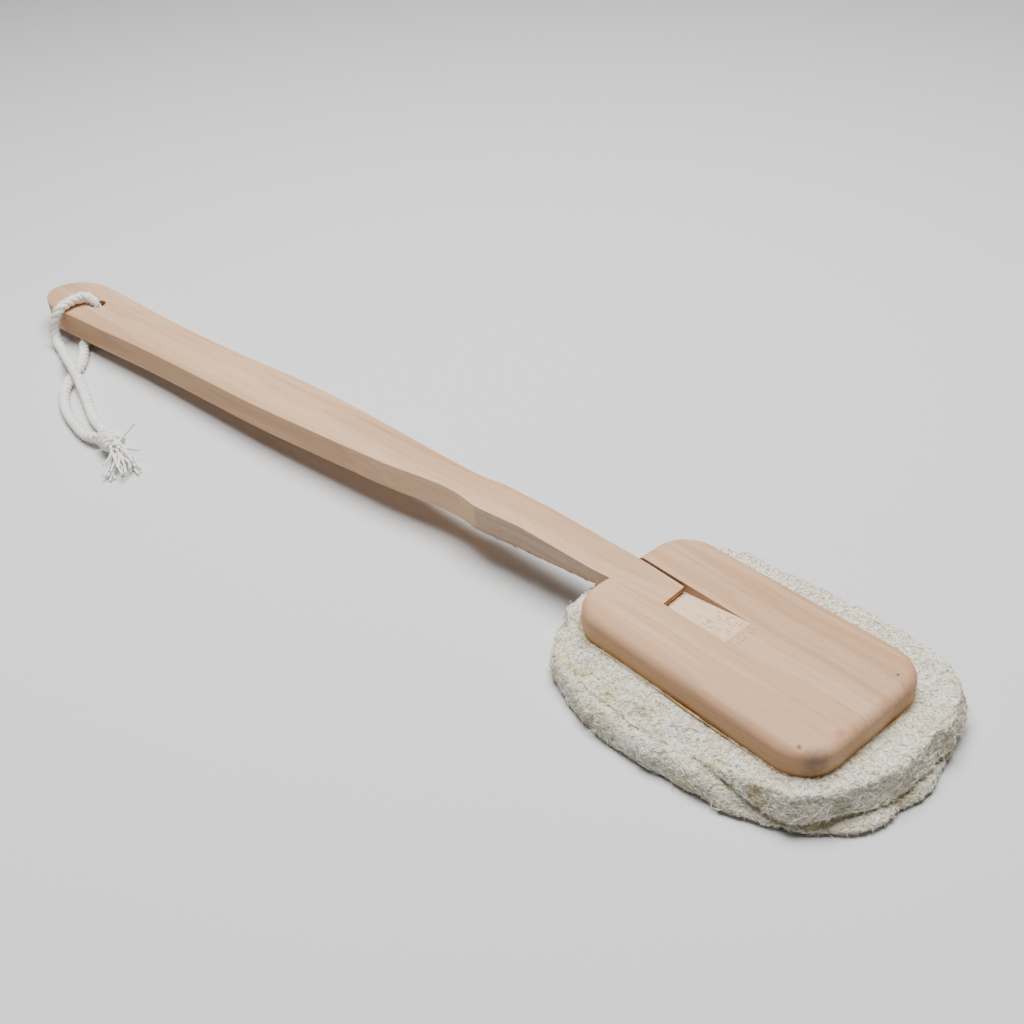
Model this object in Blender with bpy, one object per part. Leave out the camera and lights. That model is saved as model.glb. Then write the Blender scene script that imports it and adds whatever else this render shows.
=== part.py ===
"""Loofah back scrubber: a wooden handle that slides into a wooden head with a two-layer loofah pad.

World frame: +Z up, +X towards the front of the head, the handle runs towards -X.
The origin is on the pad's lower face, under the middle of the head block.
All lengths in the constants are millimetres, and mm() turns them into metres.
"""
import math

import bmesh
import bpy
from mathutils import Euler, Matrix, Vector

# ---- driving dimensions (millimetres) ----
GAP = 0.3                    # clearance between pieces that touch

PAD_LAYER = 6.7              # thickness of one loofah layer
PAD_TOP = 2 * PAD_LAYER + GAP
PAD_EDGE_ROUND = 2.4

BLOCK_BASE = PAD_TOP + GAP
BLOCK_LENGTH = 104.0
BLOCK_WIDTH_FRONT = 62.6
BLOCK_WIDTH_REAR = 59.4
BLOCK_THICKNESS = 10.0
BLOCK_TOP = BLOCK_BASE + BLOCK_THICKNESS
BLOCK_CORNER_RADIUS = 14.0
BLOCK_TOP_ROUND = 4.0
BLOCK_BASE_ROUND = 0.5

GLUE_RADIUS = 0.5            # half the height of the glue bead

HANDLE_LENGTH = 389.5
GRIP_THICKNESS = 11.4
GRIP_BOTTOM_ROUND = 4.4
GRIP_TOP_ROUND = 0.7
HANDLE_DROOP = 0.0305        # radians, the handle slopes down towards its free end
HANDLE_YAW = 0.088           # radians, and swings a little to one side of the head
TONGUE_TIP = (-28.96, -0.10, BLOCK_BASE + 13.26)   # the uncut board's top edge at the tongue's tip
CAP_START = 368.0            # the rounded end begins here
HOLE_STATION = 354.5
HOLE_RADIUS = 3.9
NECK_STATION = 96.0          # the rounded grip ends here and the sawn tongue begins

CORD_RADIUS = 2.3
KNOT_CENTRE = (-281.5, -79.8, 5.7)
KNOT_RADII = (7.4, 5.9, 5.4)
TASSEL_LENGTH = 19.0

# Half widths of the handle: distance from the tongue's tip, then the -Y side and the +Y side.
HANDLE_STATIONS = [
    (0, 6.9, 4.9), (24, 7.8, 7.4), (45, 8.1, 7.7), (64, 8.2, 7.7), (76, 8.6, 8.0),
    (86, 8.7, 8.3), (96, 6.9, 7.4), (106, 6.6, 7.5), (118, 7.8, 8.1), (134, 9.7, 9.2),
    (150, 10.6, 10.5), (170, 11.5, 11.8), (192, 12.5, 12.7), (216, 13.2, 13.0), (242, 13.1, 12.1),
    (270, 12.8, 11.5), (300, 13.0, 11.9), (325, 13.8, 12.9), (350, 14.5, 14.3), (CAP_START, 14.7, 14.7),
]

# Side view of the tongue: distance from its tip, and height below the board's top face.
TONGUE_TOP = [(-6, -4.3), (0, -4.1), (30, -3.0), (64, 0.0), (70, 0.55)]
TONGUE_UNDERSIDE = [(-6, -5.4), (0, -6.1), (27, -8.9), (84, -10.5), (102, -11.5)]

# The groove in the block, seen from above and from the side (x, height above the block's base).
GROOVE_PLAN = [(-58, -10.9), (-28, -7.5), (1.5, -7.3), (1.5, 5.4), (-28, 5.5), (-58, 5.9)]
GROOVE_FLOOR = [(-60, 2.5), (-55.5, 3.1), (-28, 6.65), (-18, 8.05), (-8, 9.35), (-1, 10.0), (4, 10.4)]

LOWER_OUTLINE = [
    (-62, -8), (-60, -24), (-50.5, -37), (-37, -45.3), (-20, -49), (0, -49), (22, -46),
    (40, -42), (55, -33.5), (66, -21), (70, -3), (68.5, 14), (61.5, 32), (49, 43),
    (28, 47.5), (5, 47), (-18, 45.5), (-40, 42), (-54, 31), (-61, 12),
]
UPPER_OUTLINE = [
    (-58.5, -8), (-56.5, -24), (-47.5, -37.5), (-34, -44.5), (-18, -47), (2, -46.5), (22, -43),
    (39, -39), (51, -33), (59, -20.5), (63.5, -5), (64, 12), (63, 27), (56, 40),
    (42, 46.5), (24, 47.8), (5, 46.8), (-18, 45), (-38, 41.5), (-52, 31), (-58, 12),
]

# The cord from the knot, up over the handle, down its hole and back to the knot.
CORD_ROUTE = [
    (-289.4, -77.3, 4.6), (-298.0, -76.2, 2.9), (-307.5, -74.8, 2.4), (-318.5, -71.5, 2.4),
    (-331.0, -67.6, 2.7), (-342.0, -64.6, 4.9), (-351.0, -62.6, 7.3), (-360.5, -60.2, 5.8),
    (-370.0, -57.4, 3.0), (-379.5, -55.0, 2.4), (-386.5, -53.8, 4.2), (-388.6, -52.4, 9.0),
    (-387.6, -50.8, 14.4), (-387.0, -47.6, 18.6), (-388.3, -41.6, 19.6), (-388.2, -35.8, 20.2),
    (-385.6, -32.9, 19.9), (-382.9, -31.3, 16.6), (-382.3, -31.0, 10.6), (-381.9, -31.2, 5.2),
    (-381.2, -34.4, 2.5), (-379.6, -39.6, 2.4), (-375.2, -44.8, 2.4), (-366.8, -49.4, 2.4),
    (-358.0, -55.4, 2.4), (-350.4, -64.2, 2.4), (-339.8, -73.2, 2.4), (-325.0, -79.8, 2.4),
    (-309.5, -83.0, 2.4), (-298.5, -83.9, 2.7), (-289.4, -82.4, 4.6),
]

COLOURS = {
    "beech_wood": ((0.62, 0.47, 0.37, 1), 0.62),
    "loofah": ((0.74, 0.71, 0.60, 1), 0.95),
    "cotton_cord": ((0.80, 0.78, 0.70, 1), 0.92),
    "dried_glue": ((0.55, 0.33, 0.12, 1), 0.35),
}


def mm(value):
    return value * 0.001


def point(x, y, z=0.0):
    return Vector((mm(x), mm(y), mm(z)))


def clear_scene():
    for old in list(bpy.data.objects):
        bpy.data.objects.remove(old, do_unlink=True)


def new_collection(name):
    made = bpy.data.collections.new(name)
    bpy.context.scene.collection.children.link(made)
    return made


def material(name):
    made = bpy.data.materials.get(name)
    if made is None:
        colour, roughness = COLOURS[name]
        made = bpy.data.materials.new(name)
        made.use_nodes = True
        shader = made.node_tree.nodes["Principled BSDF"]
        shader.inputs["Base Color"].default_value = colour
        shader.inputs["Roughness"].default_value = roughness
        shader.inputs["Metallic"].default_value = 0.0
    return made


def add_object(name, mesh, collection, material_name=None):
    made = bpy.data.objects.new(name, mesh)
    collection.objects.link(made)
    if material_name:
        made.data.materials.append(material(material_name))
    return made


def as_cutter(obj):
    obj.hide_render = True
    obj.display_type = "WIRE"
    return obj


def baked_mesh(obj, name):
    """The object as the viewport shows it, as a mesh with its caps welded; the object is removed."""
    bpy.context.view_layer.update()
    graph = bpy.context.evaluated_depsgraph_get()
    mesh = bpy.data.meshes.new_from_object(obj.evaluated_get(graph))
    mesh.name = name
    mesh.transform(obj.matrix_world)
    bm = bmesh.new()
    bm.from_mesh(mesh)
    bmesh.ops.remove_doubles(bm, verts=bm.verts, dist=1e-6)
    bmesh.ops.dissolve_limit(bm, angle_limit=0.0005, verts=bm.verts, edges=bm.edges)
    bm.to_mesh(mesh)
    bm.free()
    bpy.data.objects.remove(obj, do_unlink=True)
    return mesh


def flat_slab(name, outline, low, high, smooth, steps=3):
    """A closed outline in the XY plane, filled and given thickness from low to high."""
    curve = bpy.data.curves.new(name, "CURVE")
    curve.dimensions = "2D"
    curve.fill_mode = "BOTH"
    curve.extrude = mm(high - low) / 2
    curve.resolution_u = steps
    if smooth:
        spline = curve.splines.new("BEZIER")
        spline.bezier_points.add(len(outline) - 1)
        for knot, (x, y) in zip(spline.bezier_points, outline):
            knot.co = point(x, y)
            knot.handle_left_type = "AUTO"
            knot.handle_right_type = "AUTO"
    else:
        spline = curve.splines.new("POLY")
        spline.points.add(len(outline) - 1)
        for knot, (x, y) in zip(spline.points, outline):
            knot.co = (mm(x), mm(y), 0.0, 1.0)
    spline.use_cyclic_u = True
    slab = bpy.data.objects.new(name, curve)
    slab.location = (0.0, 0.0, mm(low + high) / 2)
    bpy.context.scene.collection.objects.link(slab)
    return baked_mesh(slab, name)


def side_slab(name, profile, far_height, width):
    """A profile of (x, z) points closed at far_height, and given a width along Y."""
    closed = list(profile) + [(profile[-1][0], far_height), (profile[0][0], far_height)]
    mesh = flat_slab(name, closed, -width / 2, width / 2, smooth=False)
    mesh.transform(Matrix.Rotation(math.radians(90), 4, "X"))
    return mesh


def edges_where(bm, test):
    return [edge for edge in bm.edges if test(*[v.co * 1000 for v in edge.verts])]


def bevel_edges(mesh, test, radius, segments):
    """Round the edges whose two ends, in millimetres, pass the test."""
    bm = bmesh.new()
    bm.from_mesh(mesh)
    bmesh.ops.bevel(bm, geom=edges_where(bm, test), offset=mm(radius), segments=segments,
                    profile=0.5, affect="EDGES", clamp_overlap=True)
    bm.to_mesh(mesh)
    bm.free()


def shade_round(obj, angle=40):
    obj.data.shade_smooth()
    obj.data.set_sharp_from_angle(angle=math.radians(angle))


def cut(obj, cutter, operation="DIFFERENCE"):
    boolean = obj.modifiers.new(cutter.name, "BOOLEAN")
    boolean.operation = operation
    boolean.object = cutter


def loofah_layer(name, outline, low, collection):
    """One pressed sheet of loofah with softened edges."""
    high = low + PAD_LAYER
    mesh = flat_slab(name, outline, low, high, smooth=True, steps=4)
    for height in (low, high):
        bevel_edges(mesh, lambda a, b, h=height: abs(a.z - h) < 0.01 and abs(b.z - h) < 0.01,
                    PAD_EDGE_ROUND, 3)
    layer = add_object(name, mesh, collection, "loofah")
    shade_round(layer)
    return layer


def head_block(collection, cutters):
    """The tapered wooden block: a box with turned corners, a round-over and the handle's groove."""
    mesh = bpy.data.meshes.new("head_block")
    bm = bmesh.new()
    bmesh.ops.create_cube(bm, size=1.0)
    for vertex in bm.verts:
        width = BLOCK_WIDTH_FRONT if vertex.co.x > 0 else BLOCK_WIDTH_REAR
        vertex.co = point(vertex.co.x * BLOCK_LENGTH, vertex.co.y * width,
                          BLOCK_BASE + (vertex.co.z + 0.5) * BLOCK_THICKNESS)
    bm.to_mesh(mesh)
    bm.free()
    bevel_edges(mesh, lambda a, b: abs(a.z - b.z) > 1, BLOCK_CORNER_RADIUS, 10)
    bevel_edges(mesh, lambda a, b: min(a.z, b.z) > BLOCK_TOP - 0.01, BLOCK_TOP_ROUND, 6)
    bevel_edges(mesh, lambda a, b: max(a.z, b.z) < BLOCK_BASE + 0.01, BLOCK_BASE_ROUND, 2)
    block = add_object("head_block", mesh, collection, "beech_wood")
    shade_round(block, 30)

    plan = add_object("groove_plan", flat_slab("groove_plan", GROOVE_PLAN, 14, 34, False), cutters)
    side = side_slab("groove_side", GROOVE_FLOOR, 18.0, 60)
    side.transform(Matrix.Translation(point(0, 0, BLOCK_BASE)))
    floor = add_object("groove_floor", side, cutters)
    cut(as_cutter(plan), as_cutter(floor), "INTERSECT")
    cut(block, plan)
    return block


def handle_outline():
    near = [(s, a) for s, a, b in HANDLE_STATIONS]
    far = [(s, -b) for s, a, b in HANDLE_STATIONS]
    reach = HANDLE_LENGTH - CAP_START
    half = HANDLE_STATIONS[-1][1]
    turns = [math.radians(angle) for angle in range(80, -90, -20)]
    cap = [(CAP_START + reach * math.cos(turn), half * math.sin(turn)) for turn in turns]
    return near + cap + far[::-1]


def smooth_outline(points, steps=3):
    """A rounded polyline through the points, with the two corners of the tongue's tip kept sharp."""
    last = len(points) - 1
    made = []
    for i in range(last):
        before, start = points[max(i - 1, 0)], points[i]
        end, after = points[i + 1], points[min(i + 2, last)]
        for step in range(steps):
            made.append(spline_point(before, start, end, after, step / steps))
    made.append(points[last])
    return made


def spline_point(before, start, end, after, t):
    """A point on a Catmull-Rom stretch, for points with any number of coordinates."""
    made = []
    for a, b, c, d in zip(before, start, end, after):
        bend = (2 * a - 5 * b + 4 * c - d) * t * t + (3 * b - a - 3 * c + d) * t * t * t
        made.append(0.5 * (2 * b + (c - a) * t + bend))
    return tuple(made)


def handle(collection, cutters):
    """A flat board, shaped in plan, rounded underneath along the grip and planed down to a tongue.

    It is made along its own +X and then laid at its place, so the two tongue cuts
    and the drilled hole are square to the board.
    """
    outline = smooth_outline(handle_outline())
    mesh = flat_slab("handle", outline, -GRIP_THICKNESS, 0, smooth=False)
    bevel_edges(mesh, lambda a, b: max(a.z, b.z) < 0.01 - GRIP_THICKNESS
                and min(a.x, b.x) > NECK_STATION, GRIP_BOTTOM_ROUND, 5)
    bevel_edges(mesh, lambda a, b: min(a.z, b.z) > -0.01 and min(a.x, b.x) > 2,
                GRIP_TOP_ROUND, 2)
    board = add_object("handle", mesh, collection, "beech_wood")
    shade_round(board, 30)

    top = add_object("tongue_top_cut", side_slab("tongue_top_cut", TONGUE_TOP, 8.0, 60), cutters)
    under = add_object("tongue_under_cut",
                       side_slab("tongue_under_cut", TONGUE_UNDERSIDE, -20.0, 60), cutters)
    drill_mesh = bpy.data.meshes.new("hole_drill")
    bm = bmesh.new()
    bmesh.ops.create_cone(bm, cap_ends=True, segments=24, radius1=mm(HOLE_RADIUS),
                          radius2=mm(HOLE_RADIUS), depth=mm(40))
    bmesh.ops.translate(bm, verts=bm.verts, vec=point(HOLE_STATION, -0.8, 0))
    bm.to_mesh(drill_mesh)
    bm.free()
    drill = add_object("hole_drill", drill_mesh, cutters)
    for tool in (top, under, drill):
        tool.parent = board
        cut(board, as_cutter(tool))
    board.location = point(*TONGUE_TIP)
    board.rotation_euler = Euler((0.0, HANDLE_DROOP, math.pi + HANDLE_YAW))
    return board


def glue_bead(collection):
    """A thin bead of dried glue where the block meets the pad."""
    offset = GLUE_RADIUS + GAP
    corner = BLOCK_CORNER_RADIUS + offset
    curve = bpy.data.curves.new("glue_bead", "CURVE")
    curve.dimensions = "3D"
    curve.fill_mode = "FULL"
    curve.bevel_depth = mm(GLUE_RADIUS)
    curve.bevel_resolution = 1
    ring = []
    for quarter, (side_x, side_y) in enumerate([(1, 1), (-1, 1), (-1, -1), (1, -1)]):
        width = BLOCK_WIDTH_FRONT if side_x > 0 else BLOCK_WIDTH_REAR
        centre_x = side_x * (BLOCK_LENGTH / 2 - BLOCK_CORNER_RADIUS)
        centre_y = side_y * (width / 2 - BLOCK_CORNER_RADIUS)
        for step in range(7):
            turn = math.radians(90 * quarter + 15 * step)
            ring.append((centre_x + corner * math.cos(turn), centre_y + corner * math.sin(turn)))
    spline = curve.splines.new("POLY")
    spline.points.add(len(ring) - 1)
    for knot, (x, y) in zip(spline.points, ring):
        knot.co = (*point(x, y, PAD_TOP + GAP + GLUE_RADIUS), 1.0)
    spline.use_cyclic_u = True
    bead = add_object("glue_bead", curve, collection, "dried_glue")
    return bead


def hanging_cord(collection):
    """The cotton cord: one tube on a smooth curve through the route's points."""
    curve = bpy.data.curves.new("hanging_cord", "CURVE")
    curve.dimensions = "3D"
    curve.fill_mode = "FULL"
    curve.bevel_depth = mm(CORD_RADIUS)
    curve.bevel_resolution = 2
    curve.use_fill_caps = True
    path = smooth_outline(CORD_ROUTE, steps=2)
    spline = curve.splines.new("POLY")
    spline.points.add(len(path) - 1)
    for knot, place in zip(spline.points, path):
        knot.co = (*point(*place), 1.0)
    return add_object("hanging_cord", curve, collection, "cotton_cord")


def cord_knot(collection):
    """The overhand knot that joins the cord's two ends, as a plain rounded lump."""
    mesh = bpy.data.meshes.new("cord_knot")
    bm = bmesh.new()
    bmesh.ops.create_uvsphere(bm, u_segments=20, v_segments=12, radius=1.0)
    bmesh.ops.scale(bm, verts=bm.verts, vec=point(*KNOT_RADII))
    bmesh.ops.translate(bm, verts=bm.verts, vec=point(*KNOT_CENTRE))
    bm.to_mesh(mesh)
    bm.free()
    knot = add_object("cord_knot", mesh, collection, "cotton_cord")
    shade_round(knot)
    return knot


def cord_tassel(collection):
    """The frayed ends past the knot, as one plain flattened cone that opens away from it."""
    mesh = bpy.data.meshes.new("cord_tassel")
    bm = bmesh.new()
    bmesh.ops.create_cone(bm, cap_ends=True, segments=20, radius1=mm(3.2), radius2=mm(11.0),
                          depth=mm(TASSEL_LENGTH))
    bmesh.ops.rotate(bm, verts=bm.verts, matrix=Matrix.Rotation(math.radians(90), 3, "Y"))
    for vertex in bm.verts:
        flat = 1.0 - 0.66 * (vertex.co.x / mm(TASSEL_LENGTH) + 0.5)
        vertex.co.z *= flat
    front = KNOT_CENTRE[0] + KNOT_RADII[0] + GAP
    bmesh.ops.translate(bm, verts=bm.verts,
                        vec=point(front + TASSEL_LENGTH / 2, KNOT_CENTRE[1] - 1.0, 3.9))
    bm.to_mesh(mesh)
    bm.free()
    tassel = add_object("cord_tassel", mesh, collection, "cotton_cord")
    shade_round(tassel)
    return tassel


def main():
    clear_scene()
    parts = new_collection("loofah_back_scrubber")
    cutters = new_collection("cutters")
    loofah_layer("loofah_lower_layer", LOWER_OUTLINE, 0.0, parts)
    loofah_layer("loofah_upper_layer", UPPER_OUTLINE, PAD_LAYER + GAP, parts)
    head_block(parts, cutters)
    glue_bead(parts)
    handle(parts, cutters)
    hanging_cord(parts)
    cord_knot(parts)
    cord_tassel(parts)


main()
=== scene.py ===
# %% [markdown]
# # A loofah back scrubber
# The frame is already built: a wooden block with a sloping groove, a long wooden handle
# whose planed tongue slides into that groove, two layers of pressed loofah, a bead of glue
# and a cotton cord. This lesson gives each piece its real surface: grain, saw marks and
# torn fibre in the wood, thousands of short fibres in the loofah, and three plies of yarn
# in the cord. Every length is in metres, in the frame's own axes.

# %% Load the frame
import math

import bpy
import numpy as np
from mathutils import Euler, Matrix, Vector, noise


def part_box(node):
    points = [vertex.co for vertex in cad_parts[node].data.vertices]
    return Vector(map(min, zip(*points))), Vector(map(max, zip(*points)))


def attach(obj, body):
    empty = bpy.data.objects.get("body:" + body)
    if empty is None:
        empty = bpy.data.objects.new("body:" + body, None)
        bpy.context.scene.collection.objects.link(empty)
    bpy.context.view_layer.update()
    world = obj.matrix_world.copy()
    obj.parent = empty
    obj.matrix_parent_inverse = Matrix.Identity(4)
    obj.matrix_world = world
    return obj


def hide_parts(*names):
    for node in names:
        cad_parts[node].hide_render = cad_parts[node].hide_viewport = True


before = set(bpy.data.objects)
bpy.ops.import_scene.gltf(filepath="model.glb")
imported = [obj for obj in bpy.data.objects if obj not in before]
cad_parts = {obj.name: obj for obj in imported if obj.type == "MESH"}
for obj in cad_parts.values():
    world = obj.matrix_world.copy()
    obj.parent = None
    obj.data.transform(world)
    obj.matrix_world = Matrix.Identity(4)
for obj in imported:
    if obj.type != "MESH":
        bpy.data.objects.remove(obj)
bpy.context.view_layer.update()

print("nodes in the frame:", sorted(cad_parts))

# %% [markdown]
# ## The camera
# The scrubber lies face down on a table and is seen from the front corner of its head,
# from above, so the handle runs away to the upper left. The lens is a normal one. A small
# vertical shift frames the object without tilting the camera further.

# %% The camera
def new_object(name, data):
    made = bpy.data.objects.new(name, data)
    bpy.context.scene.collection.objects.link(made)
    return made


camera_data = bpy.data.cameras.new("camera")
camera_data.sensor_width = 36.0
camera_data.lens = 45.74
camera_data.shift_y = 0.0146
camera_data.clip_start = 0.01
camera = new_object("camera", camera_data)
camera.location = (0.1905, -0.2577, 0.3082)
camera.rotation_euler = Euler([math.radians(turn) for turn in (52.79, 2.29, 47.83)])
bpy.context.scene.camera = camera
print("camera height:", round(camera.location.z, 3), "m")

# %% [markdown]
# ## The floor and the light
# A plain pale floor and soft studio light show the materials without help. The main light
# is a large soft box almost overhead and a little behind the object, so tops are bright
# and the sides that face the camera fall into gentle shade, which shows the thickness of
# the block and the pad. A weak soft box on the left keeps the near sides readable.

# %% The floor
bpy.ops.object.select_all(action="DESELECT")
bpy.ops.mesh.primitive_plane_add(size=8.0, location=(0.0, 0.0, -0.0002))
floor = bpy.context.object
floor.name = "floor"


def plain_material(name, colour, roughness):
    made = bpy.data.materials.new(name)
    made.use_nodes = True
    shader = made.node_tree.nodes["Principled BSDF"]
    shader.inputs["Base Color"].default_value = (*colour, 1.0)
    shader.inputs["Roughness"].default_value = roughness
    return made


PALE_GREY = (0.66, 0.66, 0.66)
floor.data.materials.append(plain_material("pale_floor", PALE_GREY, 0.9))
print("floor:", [round(side, 1) for side in floor.dimensions], "m")


# %% The light
def soft_box(name, place, aim, size, watts):
    data = bpy.data.lights.new(name, "AREA")
    data.shape = "RECTANGLE"
    data.size, data.size_y = size
    data.energy = watts
    box = new_object(name, data)
    box.location = place
    box.rotation_euler = (Vector(aim) - Vector(place)).to_track_quat("-Z", "Y").to_euler()


soft_box("key_light", (-0.24, 0.13, 1.00), (-0.12, -0.02, 0.0), (0.8, 0.6), 26.0)
soft_box("fill_light", (-0.75, -0.75, 0.5), (-0.1, 0.0, 0.0), (0.8, 0.6), 0.5)
world = bpy.data.worlds.new("studio")
world.use_nodes = True
air = world.node_tree.nodes["Background"]
air.inputs["Color"].default_value = (0.9, 0.93, 1.0, 1.0)
air.inputs["Strength"].default_value = 0.06
bpy.context.scene.world = world
print("lights:", [light.name for light in bpy.data.lights])

# %% [markdown]
# ## Sweeping a tube
# Cord plies, loose yarns, hairs, splinters and glue are all tubes along a line. A curve with
# a bevel could make one tube, but these have ridges, uneven thickness and many copies, so
# this helper lays rings of points along any line. It carries the ring's frame from point to
# point without turning it (parallel transport), so a tube never twists by accident.

# %% Smooth and even lines
def smooth_line(points, steps):
    """Points on a Catmull-Rom curve through the given points."""
    p = np.array(points, float)
    p = np.vstack([p[:1], p, p[-1:]])
    t = np.arange(steps)[:, None] / steps
    pieces = []
    for a, b, c, d in zip(p, p[1:], p[2:], p[3:]):
        pieces.append(0.5 * (2 * b + (c - a) * t + (2 * a - 5 * b + 4 * c - d) * t**2
                             + (3 * b - a - 3 * c + d) * t**3))
    return np.vstack(pieces + [p[-2:-1]])


def even_line(line, step):
    """The same line with points a fixed step apart."""
    along = np.concatenate([[0], np.cumsum(np.linalg.norm(np.diff(line, axis=0), axis=1))])
    wanted = np.linspace(0, along[-1], max(2, int(round(along[-1] / step)) + 1))
    return np.column_stack([np.interp(wanted, along, line[:, k]) for k in range(3)])


bow = smooth_line([(0.0, 0.0, 0.0), (0.01, 0.01, 0.0), (0.02, 0.0, 0.0)], 8)
print("a bow, as a line of", len(bow), "points or of", len(even_line(bow, 0.001)), "even ones")


# %% Rings round a line
def carried_frames(line):
    """Two directions across the line at each point, carried along it without turning."""
    ahead = np.gradient(line, axis=0)
    ahead /= np.linalg.norm(ahead, axis=1)[:, None]
    start = np.cross(ahead[0], (0, 0, 1.0))
    if np.linalg.norm(start) < 0.1:
        start = np.cross(ahead[0], (0, 1.0, 0))
    across = [start / np.linalg.norm(start)]
    for direction in ahead[1:]:
        side = across[-1] - direction * across[-1].dot(direction)
        across.append(side / np.linalg.norm(side))
    across = np.array(across)
    return across, np.cross(ahead, across)


def round_rings(line, radius, sides, turn=0.0):
    """Rings of a plain tube; radius may be one number or one for each point."""
    across, up = carried_frames(line)
    angle = np.arange(sides) * math.tau / sides
    angle = angle[None, :] + np.broadcast_to(turn, len(line))[:, None]
    reach = np.broadcast_to(radius, len(line))[:, None, None]
    return reach * (np.cos(angle)[..., None] * across[:, None, :]
                    + np.sin(angle)[..., None] * up[:, None, :])


print("rings round the bow:", round_rings(bow, 0.001, 6).shape)


# %% Tubes and meshes
def tube(line, rings):
    """Points and faces of a closed tube; rings is radius times direction for each side."""
    count, sides = rings.shape[:2]
    points = (line[:, None, :] + rings).reshape(-1, 3)
    faces = []
    for ring in range(count - 1):
        low = ring * sides
        for side in range(sides):
            after = (side + 1) % sides
            faces.append((low + side, low + after, low + sides + after, low + sides + side))
    faces.append(tuple(reversed(range(sides))))
    faces.append(tuple((count - 1) * sides + side for side in range(sides)))
    return points, faces


def mesh_object(name, parts, material):
    """One object from a list of (points, faces) whose faces count from each part's start."""
    points, faces, first = [], [], 0
    for part_points, part_faces in parts:
        points.append(part_points)
        faces.extend(tuple(first + corner for corner in face) for face in part_faces)
        first += len(part_points)
    mesh = bpy.data.meshes.new(name)
    mesh.from_pydata(np.vstack(points).tolist(), [], faces)
    mesh.polygons.foreach_set("use_smooth", [True] * len(faces))
    mesh.materials.append(material)
    made = new_object(name, mesh)
    mesh.update()
    triangles = sum(len(polygon.vertices) - 2 for polygon in mesh.polygons)
    print(f"{name}: {triangles} triangles")
    return made


bow_points, bow_faces = tube(bow, round_rings(bow, 0.001, 6))
print("a tube along the bow:", len(bow_points), "points,", len(bow_faces), "faces")

# %% [markdown]
# ## Building materials from nodes
# Each material ends in a Principled BSDF. The first small helper adds a node, sets its
# choices and fills or links its inputs. The others build on it, so that the recipes below
# read like a list of steps.

# %% Nodes and their links
def add_node(tree, kind, inputs=None, **choices):
    made = tree.nodes.new(kind)
    for choice, value in choices.items():
        setattr(made, choice, value)
    for socket, value in (inputs or {}).items():
        if isinstance(value, bpy.types.NodeSocket):
            tree.links.new(value, made.inputs[socket])
        else:
            made.inputs[socket].default_value = value
    return made


def soft_noise(tree, place, scale, detail, roughness=0.5):
    inputs = {"Vector": place, "Scale": scale, "Detail": detail, "Roughness": roughness}
    return add_node(tree, "ShaderNodeTexNoise", inputs).outputs["Fac"]


def calculated(tree, operation, first, second):
    return add_node(tree, "ShaderNodeMath", {0: first, 1: second}, operation=operation).outputs[0]


def faded(tree, value, start, end, before, after):
    """Goes from before to after while the value goes from start to end."""
    inputs = {"Value": value, "From Min": start, "From Max": end, "To Min": before, "To Max": after}
    return add_node(tree, "ShaderNodeMapRange", inputs).outputs[0]


# %% Colours, groups and materials
def ramp(tree, factor, stops):
    """A colour ramp from (position, grey or colour) stops."""
    made = add_node(tree, "ShaderNodeValToRGB", {"Fac": factor})
    elements = made.color_ramp.elements
    while len(elements) < len(stops):
        elements.new(0.5)
    for element, (position, value) in zip(elements, stops):
        colour = (value, value, value) if isinstance(value, (int, float)) else value
        element.position = position
        element.color = (*colour, 1.0)
    return made.outputs["Color"]


def mixed(tree, factor, first, second, blend="MIX"):
    made = add_node(tree, "ShaderNodeMix", data_type="RGBA", blend_type=blend)
    for socket, value in ((made.inputs[0], factor), (made.inputs[6], first), (made.inputs[7], second)):
        if isinstance(value, bpy.types.NodeSocket):
            tree.links.new(value, socket)
        elif socket == made.inputs[0]:
            socket.default_value = value
        else:
            socket.default_value = (*value, 1.0)
    return made.outputs[2]


def new_group(name, inputs, outputs):
    """An empty shader node group with (name, socket type, default) inputs and outputs."""
    group = bpy.data.node_groups.new(name, "ShaderNodeTree")
    for label, kind, default in inputs:
        socket = group.interface.new_socket(label, in_out="INPUT", socket_type=kind)
        if default is not None:
            socket.default_value = default
    for label, kind in outputs:
        group.interface.new_socket(label, in_out="OUTPUT", socket_type=kind)
    return group, group.nodes.new("NodeGroupInput"), group.nodes.new("NodeGroupOutput")


def new_material(name, roughness, specular=0.3):
    made = bpy.data.materials.new(name)
    made.use_nodes = True
    tree = made.node_tree
    shader = tree.nodes["Principled BSDF"]
    shader.inputs["Roughness"].default_value = roughness
    shader.inputs["Specular IOR Level"].default_value = specular
    return made, tree, shader


def bumped(tree, shader, height, distance, strength=1.0):
    bump = add_node(tree, "ShaderNodeBump",
                    {"Height": height, "Distance": distance, "Strength": strength})
    tree.links.new(bump.outputs["Normal"], shader.inputs["Normal"])


# %% [markdown]
# ## Cotton
# The cord is unbleached cotton: warm white, quite matte, a little greyer in random patches,
# with a faint sheen from its loose hairs. The yarns themselves are modelled, so the
# material only varies the colour and adds a fine bump.

# %% Cotton material
def cotton():
    made, tree, shader = new_material("cotton", 0.95, 0.15)
    place = add_node(tree, "ShaderNodeTexCoord").outputs["Object"]
    patches = soft_noise(tree, place, 260.0, 3.0)
    fine = soft_noise(tree, place, 2600.0, 2.0)
    colour = ramp(tree, patches,
                  [(0.25, (0.82, 0.78, 0.69)), (0.5, (0.92, 0.90, 0.84)), (0.75, (0.96, 0.95, 0.92))])
    speck = ramp(tree, fine, [(0.3, 0.86), (0.6, 1.0)])
    tree.links.new(mixed(tree, 1.0, colour, speck, "MULTIPLY"), shader.inputs["Base Color"])
    bumped(tree, shader, fine, 0.0002, 0.6)
    shader.inputs["Sheen Weight"].default_value = 0.35
    shader.inputs["Sheen Roughness"].default_value = 0.6
    return made


COTTON = cotton()
print("material:", COTTON.name)

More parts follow.
